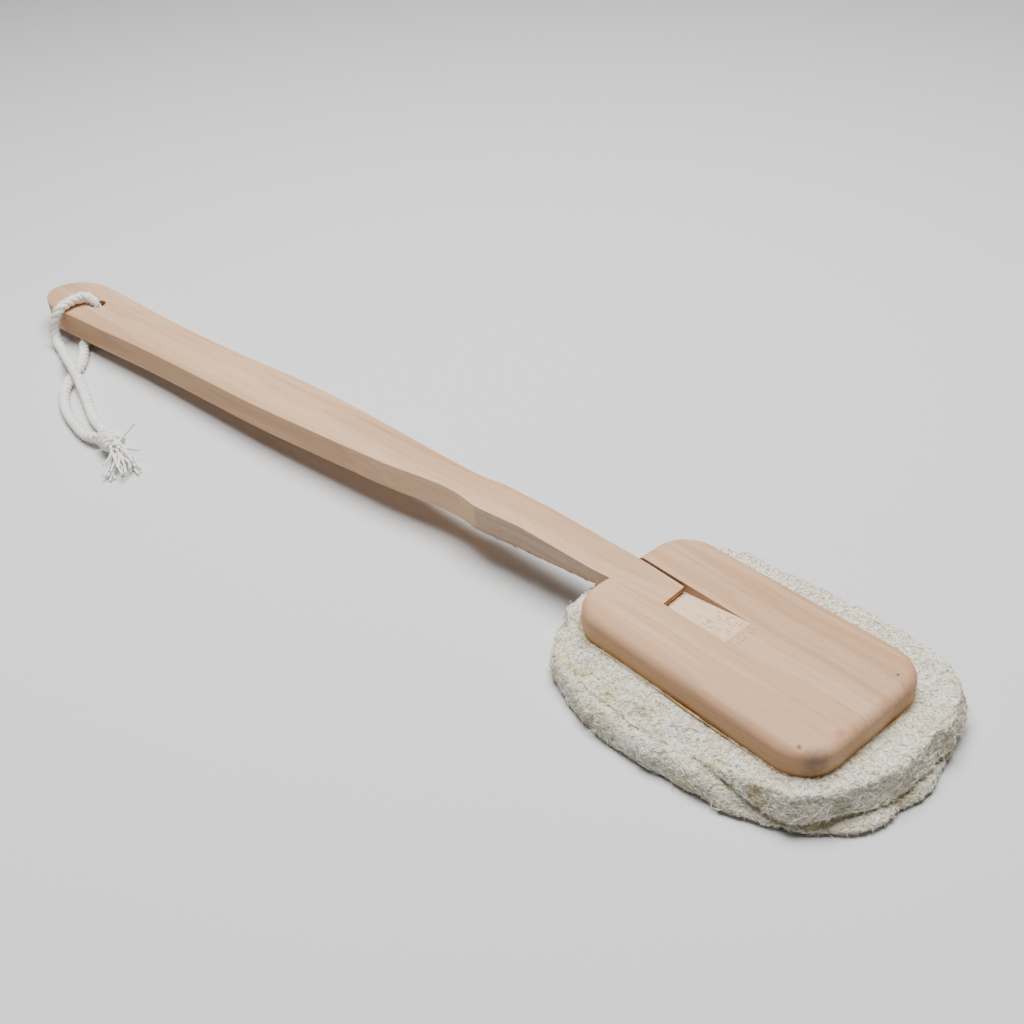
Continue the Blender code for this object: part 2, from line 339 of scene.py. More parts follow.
# %% [markdown]
# ## The hanging cord
# One cotton cord starts at the knot, lies along the table, climbs the side of the handle's
# end, crosses its top, drops through the hole, and comes back under the handle to the
# knot. It is limp, so it hugs what it passes over and lies flat elsewhere, and it crosses
# itself once. Its route is the frame's own route. It is laid from three plies twisted
# together, and each ply from six yarns, so each ply is a ridged tube on a helix.

# %% The cord's route and plies
CORD_ROUTE = [
    (-0.2894, -0.0773, 0.0046), (-0.2980, -0.0762, 0.0029), (-0.3075, -0.0748, 0.0024),
    (-0.3185, -0.0715, 0.0024), (-0.3310, -0.0676, 0.0027), (-0.3420, -0.0646, 0.0049),
    (-0.3510, -0.0626, 0.0073), (-0.3605, -0.0602, 0.0058), (-0.3700, -0.0574, 0.0030),
    (-0.3795, -0.0550, 0.0024), (-0.3865, -0.0538, 0.0042), (-0.3886, -0.0524, 0.0090),
    (-0.3876, -0.0508, 0.0144), (-0.3870, -0.0476, 0.0186), (-0.3883, -0.0416, 0.0196),
    (-0.3882, -0.0358, 0.0202), (-0.3856, -0.0329, 0.0199), (-0.3829, -0.0313, 0.0166),
    (-0.3823, -0.0310, 0.0106), (-0.3819, -0.0312, 0.0052), (-0.3812, -0.0344, 0.0025),
    (-0.3796, -0.0396, 0.0024), (-0.3752, -0.0448, 0.0024), (-0.3668, -0.0494, 0.0024),
    (-0.3580, -0.0554, 0.0024), (-0.3504, -0.0642, 0.0024), (-0.3398, -0.0732, 0.0024),
    (-0.3250, -0.0798, 0.0024), (-0.3095, -0.0830, 0.0024), (-0.2985, -0.0839, 0.0027),
    (-0.2894, -0.0824, 0.0046),
]
PLY_RADIUS = 0.00128
PLY_OFFSET = 0.00112
PLY_PITCH = 0.0105
PLIES = 3
YARNS = 6
YARN_DEPTH = 0.07
YARN_TURNS = 0.35 / 0.62         # how often the yarns turn in a ply for one turn of the plies


def twisted_plies(line, offset, radius, pitch):
    """Closed ridged tubes wound round a line, three to a cord."""
    along = np.concatenate([[0], np.cumsum(np.linalg.norm(np.diff(line, axis=0), axis=1))])
    across, up = carried_frames(line)
    sides = 3 * YARNS
    corner = np.arange(sides) * math.tau / sides
    ridge = radius * (1.0 + YARN_DEPTH * np.cos(YARNS * corner))
    parts = []
    for ply in range(PLIES):
        turn = math.tau * (along / pitch + ply / PLIES)
        middle = line + offset * (np.cos(turn)[:, None] * across + np.sin(turn)[:, None] * up)
        rings = round_rings(middle, 1.0, sides, -YARN_TURNS * math.tau * along / pitch)
        parts.append(tube(middle, rings * ridge[None, :, None]))
    return parts


cord_line = even_line(smooth_line(CORD_ROUTE, 12), 0.0006)
cord_plies = twisted_plies(cord_line, PLY_OFFSET, PLY_RADIUS, PLY_PITCH)
hanging_cord = mesh_object("cotton_cord", cord_plies, COTTON)

# %% [markdown]
# ## The knot
# The cord's two ends are tied together in one overhand knot. Inside, both strands run
# straight through; outside, both wrap once and a half round themselves. Tension squeezes
# the cord thinner there. Four straight strands and two wound ones give the same lump.

# %% The knot
KNOT = np.array([-0.2815, -0.0798, 0.0056])
KNOT_AXIS = np.array([0.985, -0.172, 0.0])
KNOT_SIDE = np.array([0.172, 0.985, 0.0])
KNOT_UP = np.array([0.0, 0.0, 1.0])
KNOT_WRAP = 0.0034
KNOT_TURNS = 1.55
KNOT_LENGTH = 0.0078


def wrapping_strand(shift):
    """A strand's line: it leaves the core, winds round it and dives back in."""
    t = np.linspace(0.0, 1.0, 90)
    turn = 0.6 + math.tau * KNOT_TURNS * t
    reach = KNOT_WRAP * np.minimum(1.0, np.minimum(t, 1.0 - t) * 5.0 + 0.25)
    along = shift + KNOT_LENGTH * (t - 0.5)
    return (KNOT + along[:, None] * KNOT_AXIS
            + (reach * np.cos(turn) * 1.12)[:, None] * KNOT_SIDE
            + (reach * np.sin(turn) * 0.92)[:, None] * KNOT_UP)


def cord_knot_piece():
    parts = []
    for shift in (-0.0016, 0.0016):
        parts += twisted_plies(wrapping_strand(shift), 0.00082, 0.00098, 0.009)
    core = np.array([KNOT + KNOT_AXIS * step for step in np.linspace(-0.0078, 0.0080, 40)])
    for side, up in ((0.0014, 0.0004), (-0.0014, -0.0004), (0.0003, 0.0016), (-0.0002, -0.0017)):
        parts += twisted_plies(core + side * KNOT_SIDE + up * KNOT_UP, 0.0008, 0.0009, 0.010)
    return mesh_object("tied_knot", parts, COTTON)


tied_knot = cord_knot_piece()

# %% [markdown]
# ## The frayed ends
# Past the knot the cut ends have come apart into their yarns. Each is a thin curling tube
# that starts inside the knot, spreads like a fan, sinks to the table and ends in a small
# brushed tip. Two strays leave the fan to one side, and one of them stands up. Each yarn's
# length and wave come from a seeded random generator, so the fan is always the same.

# %% The frayed ends
def frayed_yarn(rng, spread, lift, length, radius):
    """One loose yarn, from inside the knot to its brushed tip."""
    start = KNOT + KNOT_AXIS * 0.0062 + KNOT_SIDE * rng.uniform(-0.0026, 0.0026)
    start = start + KNOT_UP * rng.uniform(-0.0025, 0.0022)
    heading = KNOT_AXIS * math.cos(spread) + KNOT_SIDE * math.sin(spread)
    across = np.cross(heading, KNOT_UP)
    t = np.linspace(0.0, 1.0, 9)
    wave = rng.uniform(-0.0016, 0.0016) * np.sin(t * rng.uniform(2.5, 5.0))
    wave = wave + rng.uniform(-0.001, 0.001) * t**2
    line = start + (length * t)[:, None] * heading + wave[:, None] * across
    sink = 0.0042 * t * (lift < 0.004)
    line[:, 2] = np.maximum(line[:, 2] + lift * t**1.4 - sink, 1.3 * radius)
    line = even_line(smooth_line(line, 6), 0.0007)
    along = np.linspace(0.0, 1.0, len(line))
    thickness = radius * (1.0 + 0.14 * np.sin(along * length / 0.0004) + 0.25 * (along > 0.93))
    lobed = round_rings(line, thickness, 8, along * length / 0.0016)
    lobed *= (1.0 + 0.12 * (np.arange(8) % 2))[None, :, None]
    return tube(line, lobed)


def tassel_piece():
    rng = np.random.default_rng(11)
    parts = []
    for spread in np.linspace(-0.62, 0.30, 20):
        length = rng.uniform(0.0125, 0.0188) * (1.0 - 0.18 * abs(spread))
        parts.append(frayed_yarn(rng, spread + rng.uniform(-0.07, 0.07), rng.uniform(0.0, 0.0028),
                                 length, rng.uniform(0.00042, 0.00060)))
    parts.append(frayed_yarn(rng, 1.85, 0.0060, 0.0120, 0.00056))
    parts.append(frayed_yarn(rng, 0.70, 0.0030, 0.0095, 0.00052))
    return mesh_object("frayed_ends", parts, COTTON)


frayed_ends = tassel_piece()

# %% [markdown]
# ## Loose hairs
# Cotton is fuzzy: hairs a tenth of a millimetre thick stand out of the plies all round.
# Modelled as three-sided tubes they soften the cord's outline, as they do on the real one.

# %% Loose hairs
HAIR_TAPER = np.array([0.00006, 0.00005, 0.00002])


def hair_piece(name, count, seed):
    rng = np.random.default_rng(seed)
    across, up = carried_frames(cord_line)
    parts = []
    for _ in range(count):
        at = rng.integers(4, len(cord_line) - 4)
        turn = rng.uniform(0.0, math.tau)
        out = math.cos(turn) * across[at] + math.sin(turn) * up[at]
        lean = rng.normal(0.0, 0.7, 3)
        root = cord_line[at] + out * 0.0019
        tip = root + (out + lean * 0.9) * rng.uniform(0.0005, 0.0017)
        middle = (root + tip) / 2 + rng.normal(0.0, 0.0002, 3)
        line = np.array([root, middle, tip])
        line[:, 2] = np.maximum(line[:, 2], 0.0001)
        parts.append(tube(line, round_rings(line, HAIR_TAPER, 3)))
    return mesh_object(name, parts, COTTON)


cord_hairs = hair_piece("cord_hairs", 1500, 5)

# %% [markdown]
# ## Wood grain as a node group
# The block and the handle are the same bare, sanded hardwood, so their grain is one node
# group. It reads a place in metres with the grain along X. Noise that is stretched along X
# makes the fine streaks, a wider one makes the broad bands of colour between growth rings,
# and a very fine one, cut off high, makes the short dark pores. It puts out masks only, and
# each material colours them with its own values.

# %% The grain group
def grain_group():
    group, inside, outside = new_group(
        "wood_grain", [("Vector", "NodeSocketVector", None), ("Seed", "NodeSocketFloat", 0.0)],
        [("Streaks", "NodeSocketFloat"), ("Bands", "NodeSocketFloat"), ("Pores", "NodeSocketFloat"),
         ("Clouds", "NodeSocketFloat")])
    place, seed = inside.outputs["Vector"], inside.outputs["Seed"]
    bend = add_node(group, "ShaderNodeTexNoise", {"Vector": place, "Scale": 14.0, "Detail": 1.0})
    lean = add_node(group, "ShaderNodeVectorMath", {0: bend.outputs["Color"], 1: (0.0, 0.005, 0.005)},
                    operation="MULTIPLY")
    bent = add_node(group, "ShaderNodeVectorMath", {0: place, 1: lean.outputs[0]}, operation="ADD")
    masks = (("Streaks", (16.0, 900.0, 900.0), 5.0, 0.62), ("Bands", (3.5, 75.0, 60.0), 2.0, 0.45),
             ("Pores", (330.0, 5200.0, 5200.0), 1.0, 0.5), ("Clouds", (22.0, 45.0, 45.0), 3.0, 0.5))
    for name, stretch, detail, rough in masks:
        scaled = add_node(group, "ShaderNodeMapping", {"Vector": bent.outputs[0], "Scale": stretch})
        grain = add_node(group, "ShaderNodeTexNoise",
                         {"Vector": scaled.outputs[0], "W": seed, "Scale": 1.0, "Detail": detail,
                          "Roughness": rough}, noise_dimensions="4D")
        group.links.new(grain.outputs["Fac"], outside.inputs[name])
    return group


GRAIN = grain_group()
print("group:", GRAIN.name)

# %% [markdown]
# ## Spots as a node group
# Real wood carries small marks: a smudge where it was handled, a pin knot, a stain of glue.
# Each is a soft ball round a point, with an edge made ragged by noise. The group gives that
# ball's mask, and the material says where it is, how large, and what colour it adds.

# %% The spot group
def spot_group():
    group, inside, outside = new_group(
        "spot", [("Vector", "NodeSocketVector", None), ("Centre", "NodeSocketVector", None),
                 ("Stretch", "NodeSocketVector", (1.0, 1.0, 1.0)), ("Radius", "NodeSocketFloat", 0.003)],
        [("Mask", "NodeSocketFloat")])
    ragged = soft_noise(group, inside.outputs["Vector"], 420.0, 3.0)
    away = add_node(group, "ShaderNodeVectorMath",
                    {0: inside.outputs["Vector"], 1: inside.outputs["Centre"]}, operation="SUBTRACT")
    shaped = add_node(group, "ShaderNodeVectorMath",
                      {0: away.outputs[0], 1: inside.outputs["Stretch"]}, operation="MULTIPLY")
    far = add_node(group, "ShaderNodeVectorMath", {0: shaped.outputs[0]}, operation="LENGTH")
    share = calculated(group, "DIVIDE", far.outputs["Value"], inside.outputs["Radius"])
    edge = calculated(group, "ADD", share, calculated(group, "MULTIPLY", ragged, 1.2))
    group.links.new(faded(group, edge, 0.75, 1.6, 1.0, 0.0), outside.inputs["Mask"])
    return group


SPOT = spot_group()
print("group:", SPOT.name)

# %% [markdown]
# ## Bare wood
# The wood is pale, pinkish and unfinished, so it is matte. Its colour runs between two
# close tones along the bands, with fine streaks over them and pores that are only a little
# darker. Sawn faces are rougher and greyer, the fresh cut in the groove is paler, and end
# grain is brown. One function makes them all from a few colours, with the grain along the
# piece that they are for. The block also carries its spots, and an amber stain where the
# glue soaked into its foot.

# %% The recipe for wood
GLUE_SOAK = 0.0024
AMBER = (0.62, 0.33, 0.09)


def wood(name, light, dark, pore, origin=(0, 0, 0), turn=(0, 0, 0), seed=0.0, roughness=0.62,
         bump=0.00006, spots=(), foot=None):
    made, tree, shader = new_material(name, roughness, 0.25)
    place = add_node(tree, "ShaderNodeTexCoord").outputs["Object"]
    laid = add_node(tree, "ShaderNodeMapping", {"Vector": place, "Location": origin, "Rotation": turn},
                    vector_type="TEXTURE")
    grain = add_node(tree, "ShaderNodeGroup", node_tree=GRAIN)
    tree.links.new(laid.outputs[0], grain.inputs["Vector"])
    grain.inputs["Seed"].default_value = seed
    growth = [(0.400, 0.0), (0.425, 0.42), (0.480, 0.36), (0.500, 0.80), (0.560, 0.65), (0.585, 1.0)]
    colour = mixed(tree, ramp(tree, grain.outputs["Bands"], growth), dark, light)
    clouds = ramp(tree, grain.outputs["Clouds"], [(0.3, (0.93, 0.90, 0.88)), (0.7, (1.0, 1.0, 1.0))])
    colour = mixed(tree, 1.0, colour, clouds, "MULTIPLY")
    streaks = ramp(tree, grain.outputs["Streaks"], [(0.30, 0.80), (0.5, 0.96), (0.68, 1.0)])
    colour = mixed(tree, 1.0, colour, streaks, "MULTIPLY")
    pores = ramp(tree, grain.outputs["Pores"], [(0.60, 0.0), (0.74, 0.55)])
    colour = mixed(tree, pores, colour, pore)
    for centre, radius, tint, strength, stretch in spots:
        spot = add_node(tree, "ShaderNodeGroup", node_tree=SPOT)
        tree.links.new(place, spot.inputs["Vector"])
        spot.inputs["Centre"].default_value = centre
        spot.inputs["Radius"].default_value = radius
        spot.inputs["Stretch"].default_value = stretch
        weight = calculated(tree, "MULTIPLY", spot.outputs["Mask"], strength)
        colour = mixed(tree, weight, colour, tint)
    if foot is not None:
        height = add_node(tree, "ShaderNodeSeparateXYZ", {0: place}).outputs["Z"]
        soaked = faded(tree, height, foot, foot + GLUE_SOAK, 1.0, 0.0)
        patchy = ramp(tree, grain.outputs["Clouds"], [(0.42, 0.15), (0.60, 0.85)])
        colour = mixed(tree, calculated(tree, "MULTIPLY", soaked, patchy), colour, AMBER)
    tree.links.new(colour, shader.inputs["Base Color"])
    bumped(tree, shader, grain.outputs["Streaks"], bump, 0.7)
    return made


# %% Five kinds of wood
HANDLE_TIP = (-0.02896, -0.00010, 0.02726)       # the tongue's end, on its upper face
HANDLE_TURN = (0.0, 0.0305, math.pi + 0.088)
LIGHT_WOOD = (0.715, 0.465, 0.285)
DARK_WOOD = (0.560, 0.330, 0.183)
PORE = (0.46, 0.26, 0.14)
EVEN = (1.0, 1.0, 1.0)
block_low, block_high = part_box("head_block")
BLOCK_BASE, BLOCK_TOP = block_low.z, block_high.z

# Each spot is a place, a radius, a colour, its strength and how it is stretched.
SMUDGE = ((0.0490, -0.0256, 0.0200), 0.0055, (0.20, 0.14, 0.11), 0.70, EVEN)
PIN_KNOT = ((0.0435, -0.0265, 0.0237), 0.0011, (0.10, 0.05, 0.05), 0.85, EVEN)
RED_STREAK = ((0.0485, -0.0139, 0.0238), 0.0024, (0.50, 0.20, 0.11), 0.90, (1.4, 0.8, 1.0))
SPECK = ((0.0461, 0.0189, 0.0240), 0.0009, (0.07, 0.05, 0.05), 0.85, EVEN)
GLUE_RUN = ((0.0500, 0.0250, 0.0150), 0.0022, (0.66, 0.42, 0.10), 0.60, (1.0, 1.0, 0.45))
CORNER_STAIN = ((-0.0500, -0.0220, 0.0165), 0.0065, (0.52, 0.33, 0.13), 0.50, (0.6, 1.0, 1.0))
SIDE_STAIN = ((0.0020, -0.0290, 0.0190), 0.0026, (0.45, 0.31, 0.18), 0.45, (0.5, 1.0, 1.0))
BLOCK_SPOTS = (SMUDGE, PIN_KNOT, RED_STREAK, SPECK, GLUE_RUN, CORNER_STAIN, SIDE_STAIN)

BLOCK_WOOD = wood("block_wood", LIGHT_WOOD, DARK_WOOD, PORE, seed=1.7, spots=BLOCK_SPOTS,
                  foot=BLOCK_BASE)
HANDLE_WOOD = wood("handle_wood", LIGHT_WOOD, DARK_WOOD, PORE, HANDLE_TIP, HANDLE_TURN, seed=4.2)
FRESH_WOOD = wood("fresh_cut_wood", (0.87, 0.645, 0.43), (0.78, 0.55, 0.35), (0.58, 0.38, 0.22), seed=8.1,
                  roughness=0.85, bump=0.00025)
SAWN_WOOD = wood("sawn_wood", (0.60, 0.43, 0.31), (0.46, 0.32, 0.22), (0.22, 0.14, 0.09), HANDLE_TIP,
                 HANDLE_TURN, seed=6.4, roughness=0.9, bump=0.0006)
END_WOOD = wood("end_grain", (0.52, 0.32, 0.19), (0.36, 0.20, 0.11), (0.12, 0.06, 0.03),
                turn=(0.0, math.radians(90), 0.0), seed=2.0, roughness=0.9, bump=0.0003)
print("wood:", [made.name for made in (BLOCK_WOOD, HANDLE_WOOD, FRESH_WOOD, SAWN_WOOD, END_WOOD)])

# %% [markdown]
# ## A clean copy of a frame part
# The frame's wooden parts already have the right shape, as loose triangles. Each is copied,
# its corners are merged and its flat faces made whole again, and then it is shaded smooth
# except across sharp edges. The copy then takes the detail that the frame leaves out.

# %% Copying a frame part
def select_only(obj):
    bpy.ops.object.select_all(action="DESELECT")
    obj.select_set(True)
    bpy.context.view_layer.objects.active = obj


def twin_of(node, name):
    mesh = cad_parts[node].data.copy()
    mesh.name = name
    mesh.materials.clear()
    made = new_object(name, mesh)
    select_only(made)
    bpy.ops.mesh.customdata_custom_splitnormals_clear()
    bpy.ops.object.mode_set(mode="EDIT")
    bpy.ops.mesh.select_all(action="SELECT")
    bpy.ops.mesh.remove_doubles(threshold=1e-6)
    bpy.ops.mesh.dissolve_limited(angle_limit=math.radians(0.3))
    bpy.ops.object.mode_set(mode="OBJECT")
    bpy.ops.object.shade_smooth_by_angle(angle=math.radians(28))
    return made


def paint_faces(obj, material, wanted):
    """Gives a material to the faces whose middle and normal pass the test."""
    obj.data.materials.append(material)
    index = len(obj.data.materials) - 1
    chosen = [face for face in obj.data.polygons if wanted(face.center, face.normal)]
    for face in chosen:
        face.material_index = index
    print(f"{obj.name}: {len(chosen)} faces of {material.name}")


# %% [markdown]
# ## Splinters
# A saw and a blunt cutter leave torn fibres along edges. One splinter is a thin pointed
# sliver, lying almost along the grain with one end lifted. Slivers of different lengths go
# where the wood is torn, and join the wooden piece that they grew from.

# %% Splinters
ALONG_X = (1.0, 0.0, 0.0)
SLIVER_TAPER = np.array([0.5, 1.0, 0.9, 0.6, 0.12])


def splinters(places, seed, grain, lift, length, width):
    """Slivers rooted at (place, outward direction) pairs, nearly along the grain."""
    rng = np.random.default_rng(seed)
    parts = []
    for place, outward in places:
        way = np.array(grain) * rng.choice([-1.0, 1.0]) + np.array(outward) * lift * rng.uniform(0.3, 1.6)
        way = way + rng.normal(0.0, 0.07, 3)
        way /= np.linalg.norm(way)
        long = length * rng.uniform(0.4, 1.3)
        t = np.linspace(-0.4, 0.6, 5)[:, None]
        line = np.array(place) + way * long * t + np.array(outward) * 0.00012 * (t + 0.4) ** 2
        thick = width * SLIVER_TAPER * rng.uniform(0.7, 1.4)
        parts.append(tube(line, round_rings(line, thick, 4)))
    return parts


def join_into(obj, extra):
    select_only(extra)
    obj.select_set(True)
    bpy.context.view_layer.objects.active = obj
    bpy.ops.object.join()


# %% [markdown]
# ## The head block
# The block is a slab with turned corners and a rolled upper edge. Its groove slopes up from
# the rear edge until it runs out in the middle of the top, and that last stretch is a pale
# ragged patch, because the cutter tore the surface there instead of slicing it. The groove's
# floor takes the fresh-cut wood, its walls take the sawn wood, and splinters lie across the
# run-out.

# %% The groove's faces
RUN_OUT = 0.0040                 # the groove's front end, in the middle of the top
GROOVE_SIDES = (-0.0112, 0.0062)
SLOPE_START = -0.0012            # the floor dips below the top behind this place
FLOOR_SLOPE = 0.093

wooden_block = twin_of("head_block", "wooden_block")
wooden_block.data.materials.append(BLOCK_WOOD)


def in_groove(at):
    across = GROOVE_SIDES[0] < at.y < GROOVE_SIDES[1]
    return at.x < RUN_OUT and across and BLOCK_BASE + 0.002 < at.z < BLOCK_TOP


def is_groove_floor(at, up):
    return in_groove(at) and 0.9 < up.z < 0.99995


def is_groove_wall(at, up):
    return in_groove(at) and abs(up.y) > 0.9


paint_faces(wooden_block, FRESH_WOOD, is_groove_floor)
paint_faces(wooden_block, SAWN_WOOD, is_groove_wall)

# %% The torn wood at its end
torn = np.random.default_rng(21)
torn_places = []
for _ in range(150):
    x, y = torn.uniform(-0.013, 0.0030), torn.uniform(-0.0066, 0.0048)
    torn_places.append((x, y, BLOCK_TOP - max(0.0, SLOPE_START - x) * FLOOR_SLOPE))
for x in torn.uniform(0.004, 0.047, 26):
    torn_places.append((x, 0.0135 + 0.06 * x + torn.normal(0.0, 0.0012), BLOCK_TOP))
slivers = splinters([(place, (0, 0, 1)) for place in torn_places], 22, ALONG_X, 0.12, 0.0016, 0.00009)
join_into(wooden_block, mesh_object("torn_fibres", slivers, FRESH_WOOD))
print("block:", [round(side * 1000, 1) for side in wooden_block.dimensions], "mm")

# %% [markdown]
# ## The handle
# The grip is one flat board with a rounded end and a hole for the cord. Towards the head it
# narrows to a neck and becomes the tongue, which was planed on top and sawn on its flanks
# and underside. Those take the sawn wood, and a row of splinters runs along their lower
# edges. The tongue's end shows brown end grain, and so does the drilled hole.

# %% Places on the handle
HOLE_STATION, HOLE_SHIFT = 0.3545, -0.0008
HOLE_REACH = 0.0042
SAWN_LENGTH = 0.0875
TONGUE_EDGE = (0.026, 0.094)     # where the splinters look for the tongue's lower edge
TONGUE_DEPTH = 0.008
board_turn = Euler(HANDLE_TURN).to_matrix()
tip_place = Vector(HANDLE_TIP)


def on_board(place):
    """A place in the board's own directions: along it, across it and up."""
    return board_turn.inverted() @ (place - tip_place)


def in_frame(along, across, up):
    return tuple(tip_place + board_turn @ Vector((along, across, up)))


def is_sawn(at, up):
    place, facing = on_board(at), board_turn.inverted() @ up
    return 0.0005 < place.x < SAWN_LENGTH and facing.z < 0.3


def is_end_grain(at, up):
    place, facing = on_board(at), board_turn.inverted() @ up
    from_hole = math.hypot(place.x - HOLE_STATION, place.y - HOLE_SHIFT)
    return up.x > 0.9 or (from_hole < HOLE_REACH and abs(facing.z) < 0.5)


def tongue_edges():
    """Places along both lower edges of the tongue, each with the way that its torn fibres lean."""
    corners = [on_board(vertex.co) for vertex in wooden_handle.data.vertices]
    corners = [c for c in corners if TONGUE_EDGE[0] < c.x < TONGUE_EDGE[1] and c.z < -TONGUE_DEPTH]
    places = []
    for side in (1.0, -1.0):
        edge = sorted((c.x, abs(c.y), c.z) for c in corners if (c.y > 0.0) == (side > 0.0))
        along, across, down = np.array(edge).T
        for step in np.arange(0.030, 0.088, 0.0013):
            wide, deep = np.interp(step, along, across), np.interp(step, along, down)
            places.append((in_frame(step, side * wide, deep + 0.0001), (0.0, -0.5 * side, -0.85)))
    return places


# %% The handle
wooden_handle = twin_of("handle", "wooden_handle")
wooden_handle.data.materials.append(HANDLE_WOOD)
paint_faces(wooden_handle, SAWN_WOOD, is_sawn)
paint_faces(wooden_handle, END_WOOD, is_end_grain)
grain_way = tuple(board_turn @ Vector(ALONG_X))
slivers = splinters(tongue_edges(), 31, grain_way, 0.10, 0.0042, 0.00022)
join_into(wooden_handle, mesh_object("saw_splinters", slivers, SAWN_WOOD))
print("handle:", [round(side * 1000, 1) for side in wooden_handle.dimensions], "mm")

# %% [markdown]
# ## The bead of glue
# Glue squeezed out where the block was pressed on the pad and dried as an uneven amber
# bead. It is a tube round the block's foot whose thickness changes along it, with lumps
# where more came out. The block is a little wider in front, and the bead follows it.

# %% The glue
BEAD_CORNER = 0.0146
BEAD_WIDENING = 0.016


def glue_material():
    made, tree, shader = new_material("dried_glue", 0.35, 0.5)
    place = add_node(tree, "ShaderNodeTexCoord").outputs["Object"]
    colour = ramp(tree, soft_noise(tree, place, 160.0, 3.0),
                  [(0.35, (0.30, 0.12, 0.02)), (0.5, (0.62, 0.36, 0.10)), (0.62, (0.80, 0.66, 0.40))])
    tree.links.new(colour, shader.inputs["Base Color"])
    shader.inputs["Coat Weight"].default_value = 0.2
    return made


def glue_piece():
    low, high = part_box("glue_bead")
    centre, height = (low + high) / 2, (low.z + high.z) / 2
    half_x, half_y, corner = (high.x - low.x) / 2 - 0.0008, (high.y - low.y) / 2 - 0.0012, BEAD_CORNER
    line = []
    for turn in np.linspace(0.0, math.tau, 361)[:-1]:
        reach_x, reach_y = math.cos(turn), math.sin(turn)
        x = centre.x + np.sign(reach_x) * (half_x - corner) + corner * reach_x
        y = centre.y + np.sign(reach_y) * (half_y - corner) + corner * reach_y
        line.append((x, y, height))
    line = even_line(np.array(line + line[:1]), 0.0012)[:-1]
    line[:, 1] *= 1.0 + BEAD_WIDENING * line[:, 0] / half_x
    thick = [0.00010 + 0.00060 * max(0.0, noise.noise(Vector(place) * 90.0) + 0.05) for place in line]
    bead = tube(line, round_rings(line, np.array(thick), 8))
    return mesh_object("squeezed_glue", [bead], glue_material())


squeezed_glue = glue_piece()

# %% [markdown]
# ## Loofah material
# Dry loofah is a mat of short cream fibres. Its pits, where the mat is thin, get painted shade
# that is darker towards the middle of each small cell, and along the near crease it has
# yellow-green stains. The mat underneath is painted darker still, as painted shade for the bare
# spots between fibres, and each fibre carries its own tint in an attribute, so neighbours differ.

# %% Loofah materials
CREASE = (-0.0475, -0.0420, -0.0395, -0.0360)    # the stain fades in and out between these
STAIN = (0.62, 0.55, 0.26)


def loofah_material(name, shade, tinted):
    """shade is how dark the painted shade in the pits is; a tinted one is for the fibres, the other for the
    mat.
    """
    made, tree, shader = new_material(name, 0.93, 0.2)
    place = add_node(tree, "ShaderNodeTexCoord").outputs["Object"]
    colour = ramp(tree, soft_noise(tree, place, 75.0, 4.0, 0.6),
                  [(0.30, (0.90, 0.83, 0.67)), (0.46, (0.95, 0.91, 0.80)), (0.64, (0.98, 0.96, 0.89))])
    across = add_node(tree, "ShaderNodeSeparateXYZ", {0: place}).outputs["Y"]
    outer = faded(tree, across, CREASE[0], CREASE[1], 0.0, 1.0)
    inner = faded(tree, across, CREASE[2], CREASE[3], 1.0, 0.0)
    crease = calculated(tree, "MULTIPLY", outer, inner)
    spots = ramp(tree, soft_noise(tree, place, 110.0, 3.0), [(0.52, 0.0), (0.66, 0.6)])
    colour = mixed(tree, calculated(tree, "MULTIPLY", crease, spots), colour, STAIN)
    if tinted:
        tint = add_node(tree, "ShaderNodeAttribute", attribute_name="tint")
        tones = ramp(tree, tint.outputs["Fac"], [(0.0, (0.74, 0.68, 0.54)), (0.30, (0.95, 0.93, 0.88)),
                                                 (0.7, (1.0, 1.0, 1.0))])
        colour = mixed(tree, 1.0, colour, tones, "MULTIPLY")
    # Painted shade: the pits darken towards the middle of each Voronoi cell.
    pits = add_node(tree, "ShaderNodeTexVoronoi", {"Vector": place, "Scale": 620.0})
    painted_pit_shade = ramp(tree, pits.outputs["Distance"], [(0.0, shade), (0.55, 1.0)])
    colour = mixed(tree, 1.0, colour, painted_pit_shade, "MULTIPLY")
    # Painted shade: the mat shows only in bare spots between fibres, and is darkened there as shade.
    if not tinted:
        colour = mixed(tree, 1.0, colour, (0.80, 0.75, 0.63), "MULTIPLY")
    tree.links.new(colour, shader.inputs["Base Color"])
    bumped(tree, shader, pits.outputs["Distance"], 0.0004, 0.5)
    return made


# The mat gets a deep painted shade in its pits, the fibres a faint one.
LOOFAH_MAT = loofah_material("loofah_mat", 0.55, False)
LOOFAH_FIBRE = loofah_material("loofah_fibre", 0.94, True)
print("loofah:", LOOFAH_MAT.name, LOOFAH_FIBRE.name)

# %% [markdown]
# ## The two loofah layers
# A loofah is slit open, pressed flat and cut to an outline, and two such sheets are stacked.
# Along the near edge the upper sheet slopes down and ends short, so a shallow crease runs
# between it and the lower one's swollen rim. At the front the upper sheet is thick, and its
# face comes down over the lower one to a thin slit. Each sheet is a stack of rings that
# follow the frame's outline: its edge profile says how far each ring is drawn in, and how
# high it lies. Then noise makes it lumpy. Loofah is too stiff to drape, so this shaping
# gives it its form and no cloth simulation is needed.

# %% Reading a layer's outline
RING_SIDES = 420
MIDDLE_X = 0.004
PAD_MIDDLE = Vector((MIDDLE_X, 0.0, 0.0))


